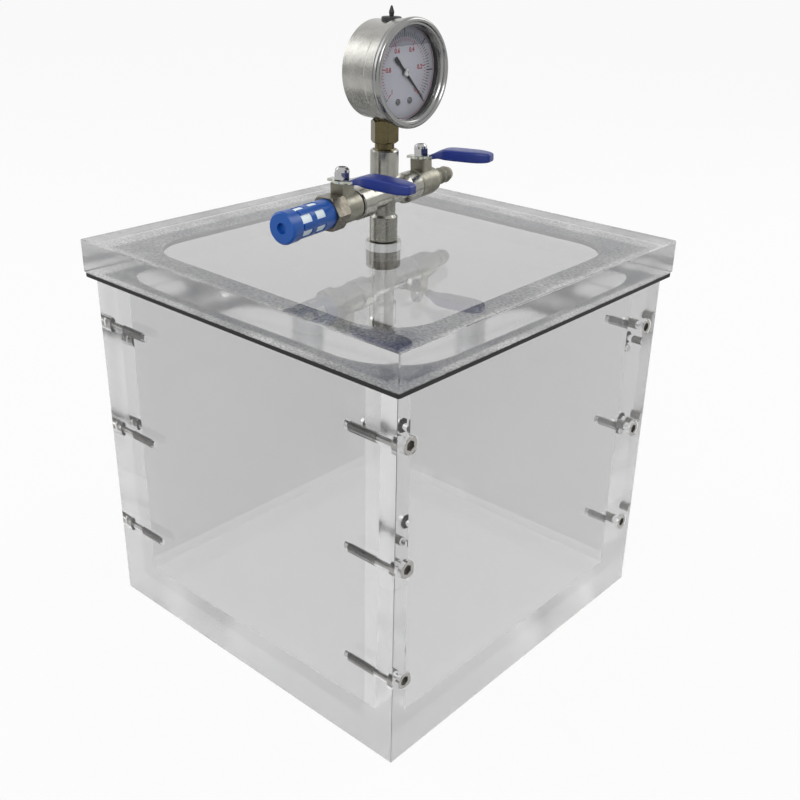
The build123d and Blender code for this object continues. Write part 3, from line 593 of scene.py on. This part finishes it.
def build_seal():
    """Rubber frame with soft edges, pressed a hair into the lid and just clear of the walls."""
    half, lift, edge = (SEAL_HIGH.x - SEAL_LOW.x) / 2, 0.03 * MM, 0.35 * MM
    low, high = SEAL_LOW.z + lift, LID_LOW.z + lift
    outer = rounded_square(half, 1.2 * MM)
    inner = rounded_square(half - 24.4 * MM, 30 * MM)
    bm = bmesh.new()
    rings = []
    for outline, z, grow in ((outer, low, -edge), (outer, low + edge, 0), (outer, high - edge, 0),
                             (outer, high, -edge), (inner, high, edge), (inner, high - edge, 0),
                             (inner, low + edge, 0), (inner, low, edge)):
        reach = outline[0].x
        share = (reach + grow) / reach
        rings.append([bm.verts.new((p.x * share, p.y * share, z)) for p in outline])
    for low_ring, high_ring in zip(rings, rings[1:] + rings[:1]):
        skin(bm, low_ring, high_ring)
    piece = make_piece("seal_sheet", bm, SEAL, "chamber", 40)
    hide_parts("lid_seal")


# ---------------------------------------------------------------- adapter

FOOT_PROFILE = [(9.0, 0.02), (9.9, 0.05), (10.25, 0.5), (10.25, 2.0), (9.75, 2.4), (9.75, 3.0), (10.2, 3.3),
                (10.2, 9.6), (9.8, 10.4), (8.6, 10.6), (6.6, 10.6), (6.4, 10.0), (6.4, 1.0)]
RIBBED_FROM, RIBBED_TO, RIB_DEPTH, RIBS = 3.2, 10.0, 0.22, 45


def build_tape():
    """White tape wound on the adapter's thread, in ridges with small folds."""
    low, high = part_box("lid_adapter")
    thread_r = (high.x - low.x) / 2
    rows, columns, rows_per_turn = 40, 96, 3.2
    rings = []
    for i in range(rows + 1):
        z = LID_LOW.z + (LID_HIGH.z - LID_LOW.z) * (i / rows * 0.985 + 0.008)
        ring = []
        for a in circle(columns):
            ridge = abs(math.remainder(i / rows_per_turn + a / (2 * math.pi), 1.0)) * 0.5
            fold = (math.sin(3 * a + 2.1 * i) + math.sin(7 * a + i * i)) * 0.04
            r = thread_r + (0.14 + ridge + fold) * MM
            ring.append((r * math.cos(a), r * math.sin(a), z))
        rings.append(ring)
    bm = bmesh.new()
    loft(bm, rings)
    wraps = make_piece("tape_wraps", bm, PTFE, "chamber", 60)
    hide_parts("thread_tape")


def build_foot():
    """Ribbed foot of the adapter under the lid, from (radius, drop below the lid) in mm."""
    rings = []
    for radius, drop in FOOT_PROFILE:
        ribbed = RIBBED_FROM < drop < RIBBED_TO and radius > 10
        ring = []
        for k, a in enumerate(circle(4 * RIBS)):
            r = (radius - (RIB_DEPTH if ribbed and k % 4 < 2 else 0.0)) * MM
            ring.append((r * math.cos(a), r * math.sin(a), LID_LOW.z - drop * MM))
        rings.append(ring)
    bm = bmesh.new()
    loft(bm, rings)
    make_piece("adapter_foot", bm, NICKEL_DARK, "chamber", 35)


# ---------------------------------------------------------------- lever grips

GRIP_HEIGHT, GRIP_RISE = 15.3, 2.6  # mm above the ball, and how far the grip climbs above that
GRIP_STATIONS = [  # along the lever, half width, half thickness in mm, share of the rise
    (6.4, 2.6, 1.0, 0.06), (6.7, 3.0, 1.5, 0.08), (9.0, 3.1, 1.7, 0.30), (12.0, 3.9, 2.1, 0.70),
    (15.0, 5.2, 2.8, 0.95), (17.0, 6.2, 3.2, 1.00), (21.0, 6.6, 3.4, 0.98), (28.0, 6.7, 3.4, 0.88),
    (35.0, 6.7, 3.4, 0.78), (39.5, 6.3, 3.3, 0.72), (43.5, 4.9, 3.0, 0.66), (46.0, 3.6, 2.5, 0.64),
    (46.45, 2.8, 1.6, 0.64)]


def lever_direction(mesh, ball, stem_axis):
    """Direction of a lever, square to the stem, from the stem to the middle of its far end."""
    axis = Vector(stem_axis).normalized()
    arms = [(v.co - ball) - (v.co - ball).dot(axis) * axis for v in mesh.vertices]
    reach = max(arm.length for arm in arms)
    far = [arm for arm in arms if arm.length > 0.9 * reach]
    return (Vector(map(min, *far)) + Vector(map(max, *far))).normalized()


def build_grip(name, node, lever, body, ball, stem_axis):
    """Dipped vinyl grip: a soft, crowned loft along the lever, with squarish sections."""
    place = frame_matrix(ball, lever_direction(NODES[lever].data, ball, stem_axis), stem_axis)
    rings = []
    for x, half_w, half_t, share in GRIP_STATIONS:
        ring = []
        for a in circle(24):
            c, s = math.cos(a), math.sin(a)
            y = half_w * math.copysign(abs(c) ** 0.36, c)
            z = half_t * math.copysign(abs(s) ** 0.42, s)
            ring.append(place @ (Vector((x, y, GRIP_HEIGHT + GRIP_RISE * share + z)) * MM))
        rings.append(ring)
    bm = bmesh.new()
    loft(bm, rings)
    piece = make_piece(name, bm, VINYL, body)
    rounding = piece.modifiers.new("round", "SUBSURF")
    rounding.levels = rounding.render_levels = 2
    shade_smooth(piece.data)
    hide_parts(node)


# ---------------------------------------------------------------- silencer

def build_sleeve():
    """White porous sleeve close under the windows of the silencer's cage."""
    start, end = FRONT_BALL - FLOW * 22.0 * MM, FRONT_BALL - FLOW * 44.2 * MM
    place = frame_matrix(start, (0, 0, 1), end - start)
    length = (end - start).length / MM
    shares = [i / 12 for i in range(13)]
    bm = bmesh.new()
    loft(bm, [ring_points(place, 7.75 - 0.25 * abs(2 * share - 1) ** 6, share * length, 64)
              for share in shares])
    piece = make_piece("porous_core", bm, SLEEVE, "chamber", 60)
    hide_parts("silencer_sleeve")


# ---------------------------------------------------------------- gauge front

DIAL_FACE = (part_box("gauge_dial")[1].x - GAUGE_MID.x) / MM + 2.7  # mm out from the gauge's middle
POINTER_FACE, GLASS_BACK, RING_FRONT = DIAL_FACE + 0.9, DIAL_FACE + 3.0, DIAL_FACE + 8.2
ZERO_DEG, FULL_DEG = -45.0, 225.0
GAUGE_TURN = Matrix(((0, 0, 1), (1, 0, 0), (0, 1, 0))).to_4x4()  # flat print to the face of the gauge

RING_PROFILE = [  # behind the front of the ring, radius
    (6.2, 27.2), (6.2, 28.0), (5.4, 28.25), (4.9, 28.1), (4.5, 28.5), (3.8, 28.95), (2.2, 29.15),
    (1.0, 28.95), (0.3, 28.4), (0.0, 27.6), (0.15, 26.9), (0.7, 26.5), (1.15, 26.35), (1.25, 26.0),
    (1.2, 25.5), (1.6, 25.0), (2.6, 24.5), (4.4, 24.05), (4.7, 24.2), (4.7, 26.6)]
GLASS_PROFILE = [(0.05, 0.0), (0.05, 25.2), (0.35, 25.3), (0.6, 24.9), (0.75, 20.0), (0.85, 10.0), (0.9, 0.0)]


def gauge_point(right, up, out):
    """A point of the gauge: right and up on the dial, out towards the viewer, in mm."""
    return GAUGE_MID + Vector((out, right, up)) * MM


def polar(radius, degrees, out):
    """A point of the gauge at an angle on the dial."""
    angle = math.radians(degrees)
    return gauge_point(radius * math.cos(angle), radius * math.sin(angle), out)


def dial_angle(share):
    """Angle on the dial of a share of the full scale."""
    return ZERO_DEG + (FULL_DEG - ZERO_DEG) * share


def gauge_place(right, up, out, turn_deg=0.0):
    """Local frame on the face of the gauge, Z towards the viewer."""
    turn = Matrix.Rotation(math.radians(turn_deg), 4, "Z")
    return Matrix.Translation(gauge_point(right, up, out)) @ GAUGE_TURN @ turn


def lathe(name, profile, material, smooth=35):
    """Turned piece of the gauge from (out, radius) points in mm, closed on itself or on the axis."""
    bm = bmesh.new()
    rings = [[bm.verts.new(gauge_point(radius * math.cos(a), radius * math.sin(a), out)) for a in circle(96)]
             for out, radius in profile]
    ends_on_axis = profile[0][1] == 0.0
    for low, high in zip(rings, rings[1:] if ends_on_axis else rings[1:] + rings[:1]):
        skin(bm, low, high)
    bmesh.ops.remove_doubles(bm, verts=bm.verts, dist=1e-7)
    return make_piece(name, bm, material, "chamber", smooth)


def build_gauge_front():
    """Rolled bezel, collar, spacer, glass and dial plate."""
    ring = lathe("bezel_ring", [(RING_FRONT - behind, radius) for behind, radius in RING_PROFILE],
                 STAINLESS_RING)
    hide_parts("gauge_bezel")
    case_front, ring_back = (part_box("gauge_bezel")[0].x - GAUGE_MID.x) / MM, RING_FRONT - 6.0
    lathe("case_collar", [(case_front - 2.0, 26.4), (case_front - 1.4, 26.75), (case_front - 0.4, 27.0),
                          (case_front, 27.7), (ring_back, 27.7), (ring_back, 25.8), (case_front, 25.8)],
          STAINLESS)
    spacer = lathe("black_spacer", [(DIAL_FACE - 0.3, 25.6), (GLASS_BACK, 25.6), (GLASS_BACK, 24.3),
                                    (DIAL_FACE + 0.1, 25.0), (DIAL_FACE - 0.3, 25.0)], BLACK)
    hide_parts("window_spacer")
    glass = lathe("clear_window", [(GLASS_BACK + out, radius) for out, radius in GLASS_PROFILE],
                  GLASS, 60)
    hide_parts("gauge_window")
    plate = lathe("dial_plate", [(DIAL_FACE - 0.6, 1.6), (DIAL_FACE - 0.6, 24.8), (DIAL_FACE - 0.1, 24.9),
                                 (DIAL_FACE, 24.7), (DIAL_FACE, 1.6)], DIAL)
    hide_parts("gauge_dial")


def slotted_height(radius, angle, height):
    """Height of a small screw's crown, lower along its slot."""
    across = abs(radius * math.sin(angle - 0.7))
    return height - (0.35 if height > 0.5 and across < 0.35 else 0.0)


def build_dial_screws():
    """The two slotted screws that hold the dial plate."""
    bm = bmesh.new()
    for side in (-1, 1):
        place = gauge_place(side * 4.8, -15.2, DIAL_FACE)
        loft(bm, [[place @ (Vector((r * math.cos(a), r * math.sin(a), slotted_height(r, a, z))) * MM)
                   for a in circle(32)]
                  for r, z in ((1.75, 0.02), (1.75, 0.35), (1.45, 0.7), (0.9, 0.8))])
    screws = make_piece("dial_plate_screws", bm, DARK_STEEL, "chamber", 30)
    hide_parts("dial_screws")


POINTER_HALF = [  # along the pointer from its tail, half width
    (-11.6, 0.95), (-11.2, 1.25), (-8.0, 1.15), (-4.6, 0.85), (-2.6, 0.8), (0.0, 1.9), (2.6, 0.85),
    (8.0, 0.62), (15.0, 0.38), (21.0, 0.12)]
HUB_PROFILE = [(TINY, 0.3), (1.95, 0.3), (2.05, 0.9), (1.95, 1.5), (1.6, 1.75), (1.0, 1.8), (0.85, 1.7),
               (0.8, 1.45), (0.5, 1.4), (TINY, 1.4)]


def build_pointer():
    """Black pointer with a broad tail and a silver hub, lying at zero."""
    place = gauge_place(0, 0, POINTER_FACE, ZERO_DEG)
    outline = [(x, -w) for x, w in POINTER_HALF] + [(x, w) for x, w in reversed(POINTER_HALF)]
    bm = bmesh.new()
    loft(bm, [[place @ (Vector((x, y * grow, z)) * MM) for x, y in outline]
              for z, grow in ((0.0, 0.92), (0.08, 1.0), (0.32, 1.0), (0.4, 0.9))])
    pointer = make_piece("pointer_blade", bm, POINTER_BLACK, "pointer")
    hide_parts("gauge_pointer")
    bm = bmesh.new()
    loft(bm, [ring_points(place, r, z, 40) for r, z in HUB_PROFILE])
    hub = make_piece("pointer_hub", bm, CHROME, "pointer", 40)
    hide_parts("pointer_cap")


# ---------------------------------------------------------------- print on the dial

def add_mark(bm, inner, outer, degrees, width):
    """One printed line, as a thin raised bar."""
    angle = math.radians(degrees)
    side = Vector((0, -math.sin(angle), math.cos(angle))) * (width / 2 * MM)
    a, b = (polar(radius, degrees, DIAL_FACE + 0.02) for radius in (inner, outer))
    add_slab(bm, [a - side, b - side, b + side, a + side], 0.04 * MM)


def add_arc(bm, radius, width, start, end, steps=72):
    """A printed arc."""
    inner, outer, out = radius - width / 2, radius + width / 2, DIAL_FACE + 0.02
    angles = [start + (end - start) * i / steps for i in range(steps + 1)]
    for a, b in zip(angles, angles[1:]):
        add_slab(bm, [polar(inner, a, out), polar(outer, a, out), polar(outer, b, out), polar(inner, b, out)],
                 0.03 * MM)


def add_scale(bm, parts, tenth, fifth, single, widths):
    """Marks of one scale: (inner, outer) radii for each kind of mark, and wide and slim widths."""
    for i in range(parts + 1):
        inner, outer = tenth if i % 10 == 0 else (fifth if i % 5 == 0 else single)
        add_mark(bm, inner, outer, dial_angle(i / parts), widths[0] if i % 10 == 0 else widths[1])


def build_dial():
    """Two generic scales and plain numbers."""
    bm = bmesh.new()
    add_scale(bm, 60, (18.5, 23.6), (18.5, 21.8), (18.5, 20.9), (0.60, 0.36))
    make_piece("scale_black", bm, INK_BLACK, "chamber")
    bm = bmesh.new()
    add_scale(bm, 50, (15.2, 17.8), (16.0, 17.8), (16.5, 17.8), (0.55, 0.32))
    add_arc(bm, 24.1, 0.22, ZERO_DEG - 100, FULL_DEG + 20)
    make_piece("scale_red", bm, INK_RED, "chamber")
    numbers = ("0", "0.2", "0.4", "0.6", "0.8", "1")
    for i, text in enumerate(numbers):
        radius = 12.9 if 0 < i < len(numbers) - 1 else 13.6
        build_number("number_%d" % i, text, polar(radius, dial_angle(i / 5), DIAL_FACE + 0.03))


def build_number(name, text, spot):
    """A plain number that faces the viewer of the gauge."""
    curve = bpy.data.curves.new(name, "FONT")
    curve.body = text
    curve.align_x = "CENTER"
    curve.align_y = "CENTER"
    curve.size = 3.5 * MM
    curve.extrude = 0.02 * MM
    curve.offset = 0.09 * MM
    holder = add_object(name + "_curve", curve)
    mesh = evaluated_mesh(holder)
    bpy.data.objects.remove(holder)
    mesh.transform(Matrix.Translation(spot) @ GAUGE_TURN)
    finish_piece(add_object(name, mesh), INK_RED, "chamber")


# ---------------------------------------------------------------- finishes of the CAD nodes

FINISH = {
    "base_plate": ACRYLIC, "wall_front": ACRYLIC, "wall_back": ACRYLIC, "wall_left": ACRYLIC,
    "wall_right": ACRYLIC, "lid_plate": ACRYLIC_LID, "lid_seal": SEAL, "wall_screws": STEEL,
    "lid_adapter": NICKEL_BRIGHT, "thread_tape": PTFE, "cross_fitting": NICKEL_BRIGHT,
    "silencer_cage": BLUE, "silencer_sleeve": SLEEVE, "gauge_case": STAINLESS, "gauge_bezel": STAINLESS_RING,
    "gauge_window": GLASS, "window_spacer": BLACK, "gauge_dial": DIAL, "dial_screws": STEEL,
    "gauge_socket": BRASS, "bourdon_tube": BRASS, "movement_frame": BRASS, "movement_link": BRASS,
    "pinion_spindle": BRASS, "sector_gear": BRASS, "gauge_pointer": POINTER_BLACK, "pointer_cap": STEEL,
    "vent_plug": RUBBER, "front_hex_end": NICKEL_DARK, "back_hose_tail": NICKEL,
}
VALVE_FINISH = {
    "valve_body": NICKEL, "inner_seat": PTFE, "outer_seat": PTFE, "stem_packing": PTFE, "ball": BALL_CHROME,
    "stem": CHROME, "lever": ZINC, "lock_nut": CHROME, "lever_grip": VINYL,
}
for side in ("front", "back"):
    FINISH.update({side + "_" + piece: material for piece, material in VALVE_FINISH.items()})


def dress_nodes():
    """Gives every CAD node its material and leaves its mesh as it is."""
    for name, node in NODES.items():
        node.data.materials.clear()
        node.data.materials.append(FINISH[name])


# ---------------------------------------------------------------- stage

LIGHT_BOUNCES = 32  # light is caught many times over inside the clear plates
FLOOR_GAP = 0.2 * MM
FLOOR_GLOW = 0.90   # share of the floor's white that is not shaded


def seen_directly(tree):
    """Factor that is 1 for camera, glossy and transmission rays."""
    path = add_node(tree, "ShaderNodeLightPath").outputs
    first = math_node(tree, "MAXIMUM", path["Is Camera Ray"], path["Is Glossy Ray"])
    return math_node(tree, "MAXIMUM", first, path["Is Transmission Ray"])


def add_floor():
    """White floor that keeps the object's shadow."""
    material, tree, shader = new_material("stage_white")
    shader.inputs["Base Color"].default_value = rgba(0.82)
    shader.inputs["Roughness"].default_value = 0.9
    glow = add_node(tree, "ShaderNodeEmission", {"Color": rgba(1.0), "Strength": 1.0})
    share = math_node(tree, "MULTIPLY", seen_directly(tree), FLOOR_GLOW)
    surface = mix_shaders(tree, share, shader.outputs["BSDF"], glow.outputs["Emission"])
    tree.links.new(surface, tree.nodes["Material Output"].inputs["Surface"])
    bm = bmesh.new()
    bmesh.ops.create_grid(bm, x_segments=1, y_segments=1, size=60.0)
    floor = object_from("floor", bm)
    floor.location = (0, 0, cad_low.z - FLOOR_GAP)
    floor.data.materials.append(material)


def add_surround():
    """World that looks white and gives a softer light."""
    world = bpy.data.worlds.new("surround")
    bpy.context.scene.world = world
    world.use_nodes = True
    tree = world.node_tree
    tree.nodes.clear()
    soft = add_node(tree, "ShaderNodeBackground", {"Color": rgba(0.95), "Strength": 0.55})
    white = add_node(tree, "ShaderNodeBackground", {"Color": rgba(0.97), "Strength": 1.0})
    surface = mix_shaders(tree, seen_directly(tree), soft.outputs["Background"], white.outputs["Background"])
    output = add_node(tree, "ShaderNodeOutputWorld")
    tree.links.new(surface, output.inputs["Surface"])


def aim(thing, place, target):
    """Puts a card or a lamp at a place, facing a target."""
    thing.location = place
    thing.rotation_euler = (Vector(target) - Vector(place)).to_track_quat("-Z", "Y").to_euler()


def add_card(name, place, size):
    """Dark studio card that only reflections show."""
    material, tree, shader = new_material(name)
    shader.inputs["Base Color"].default_value = rgba(0.02)
    shader.inputs["Roughness"].default_value = 1.0
    bm = bmesh.new()
    bmesh.ops.create_grid(bm, x_segments=1, y_segments=1, size=0.5)
    card = object_from(name, bm)
    card.data.materials.append(material)
    aim(card, place, (0, 0, 0.28))
    card.scale = (*size, 1)
    card.visible_camera = card.visible_diffuse = False
    card.visible_transmission = card.visible_shadow = False


def add_lamp(name, place, size, watts):
    """Soft square lamp aimed at the middle of the object."""
    light = bpy.data.lights.new(name, "AREA")
    light.size = size
    light.energy = watts
    aim(add_object(name, light), place, (0, 0, 0.18))


def add_camera():
    """Camera at the photograph's height, distance and slight roll."""
    azimuth, elevation, roll = math.radians(41.33), math.radians(24.92), math.radians(1.18)
    spot = Vector((0.4025, -0.4398, LID_HIGH.z + 0.1725))
    back = Vector((math.sin(azimuth) * math.cos(elevation), -math.cos(azimuth) * math.cos(elevation),
                   math.sin(elevation)))
    right = Vector((math.cos(azimuth), math.sin(azimuth), 0))
    up = back.cross(right)
    rolled_right = math.cos(roll) * right + math.sin(roll) * up
    rolled_up = -math.sin(roll) * right + math.cos(roll) * up
    data = bpy.data.cameras.new("camera")
    data.sensor_width = 36.0
    data.lens = 46.62
    data.clip_start, data.clip_end = 0.01, 50.0
    camera = add_object("camera", data)
    turn = Matrix((rolled_right, rolled_up, back)).transposed().to_4x4()
    camera.matrix_world = Matrix.Translation(spot) @ turn
    bpy.context.scene.camera = camera


def build_stage():
    """White floor and surround, dark cards, soft lamps and the camera."""
    scene = bpy.context.scene
    scene.view_settings.view_transform = "Standard"
    for kind in ("max_bounces", "glossy_bounces", "transmission_bounces"):
        setattr(scene.cycles, kind, LIGHT_BOUNCES)
    add_floor()
    add_surround()
    add_card("card_left", (-0.9, -1.5, 0.5), (0.55, 2.2))
    add_card("card_right", (1.5, -0.55, 0.5), (0.5, 2.2))
    add_lamp("key", (0.9, -1.3, 1.5), 1.0, 16.0)
    add_lamp("fill", (-1.6, -0.7, 1.1), 1.2, 9.0)
    add_lamp("rim", (0.5, 1.5, 1.3), 1.0, 9.0)
    add_camera()


dress_nodes()
build_box()
build_seal()
build_screws()
build_tape()
build_foot()
build_grip("front_grip_skin", "front_lever_grip", "front_lever", "front_lever_set", FRONT_BALL, (0, 0, 1))
build_grip("back_grip_skin", "back_lever_grip", "back_lever", "back_lever_set", BACK_BALL, BACK_AXIS)
build_sleeve()
build_gauge_front()
build_dial_screws()
build_dial()
build_pointer()
build_stage()
